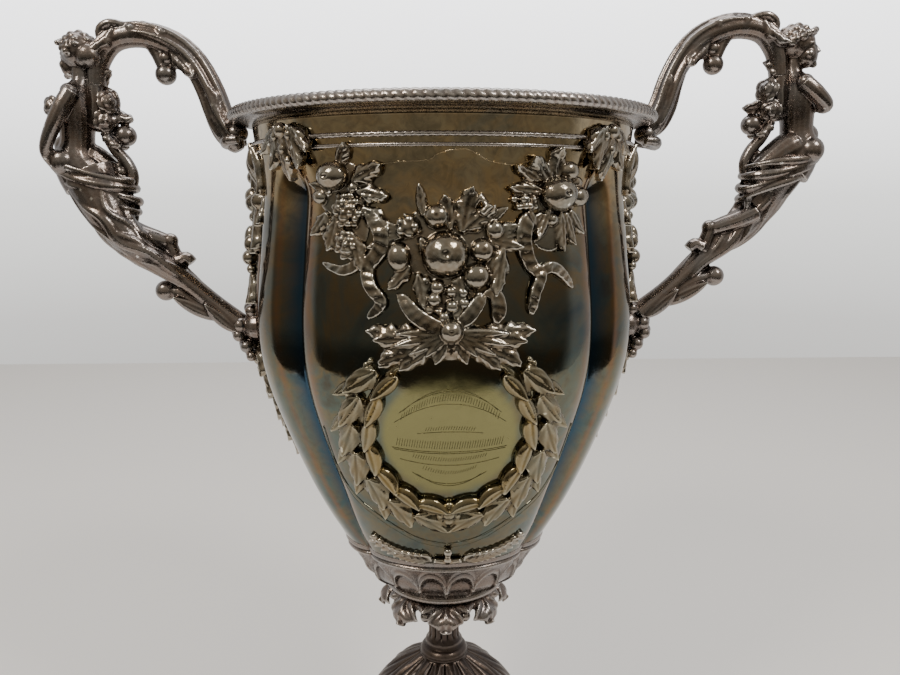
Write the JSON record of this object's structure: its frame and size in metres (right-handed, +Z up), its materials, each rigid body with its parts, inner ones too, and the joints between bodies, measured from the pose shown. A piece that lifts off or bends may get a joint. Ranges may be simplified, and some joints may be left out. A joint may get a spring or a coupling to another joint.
{
  "type": "two-handled presentation cup",
  "caption": "Lobed silver trophy bowl on a fluted stem and domed foot, with cast figure handles, fruit swags, ribbon bow and a laurel wreath round a plain field.",
  "frame": {"origin": "middle of the foot's flat underside, on the surface it stands on", "axes": "+Z up along the cup's axis, -Y out of the front panel with the wreath, +X towards the handle on the viewer's right"},
  "size_m": [0.3692, 0.196, 0.404],
  "materials": {
    "bowl_silver": "polished silver plate, unevenly tarnished olive, brown and blue",
    "cast_silver": "cast ornament, dark oxidised silver with worn bright high points",
    "foot_silver": "cast and chased, duller pinkish-brown tarnish",
    "rod_steel": "plain turned steel",
    "nut_brass": "dull brass"
  },
  "bodies": {
    "root": {"bowl": "bowl_silver", "calyx": "bowl_silver", "rim_moulding": "bowl_silver", "rope_band": "cast_silver", "neck_wire": "bowl_silver", "double_moulding": "bowl_silver", "seat_ring": "bowl_silver", "leaf_collar": "cast_silver", "stem": "foot_silver", "stem_ring": "foot_silver", "foot_dome": "foot_silver", "foot_rim": "foot_silver", "bowl_boss": "bowl_silver", "tie_rod": "rod_steel", "foot_washer": "rod_steel", "foot_nut": "nut_brass", "handle_scroll_right": "cast_silver", "handle_figure_right": "cast_silver", "handle_drapery_right": "cast_silver", "handle_posy_right": "cast_silver", "handle_tendril_right": "cast_silver", "rim_boss_right": "cast_silver", "handle_pad_right": "cast_silver", "side_strap_right": "cast_silver", "handle_scroll_left": "cast_silver", "handle_figure_left": "cast_silver", "handle_drapery_left": "cast_silver", "handle_posy_left": "cast_silver", "handle_tendril_left": "cast_silver", "rim_boss_left": "cast_silver", "handle_pad_left": "cast_silver", "side_strap_left": "cast_silver", "wreath_front": "cast_silver", "ribbon_bow_front": "cast_silver", "fruit_cluster_front": "cast_silver", "swag_west_front": "cast_silver", "swag_east_front": "cast_silver", "corner_leaf_west_front": "cast_silver", "corner_leaf_east_front": "cast_silver", "garland_front": "cast_silver", "panel_border_front": "bowl_silver", "wreath_back": "cast_silver", "ribbon_bow_back": "cast_silver", "fruit_cluster_back": "cast_silver", "swag_west_back": "cast_silver", "swag_east_back": "cast_silver", "corner_leaf_west_back": "cast_silver", "corner_leaf_east_back": "cast_silver", "garland_back": "cast_silver", "panel_border_back": "bowl_silver"}
  },
  "joints": []
}
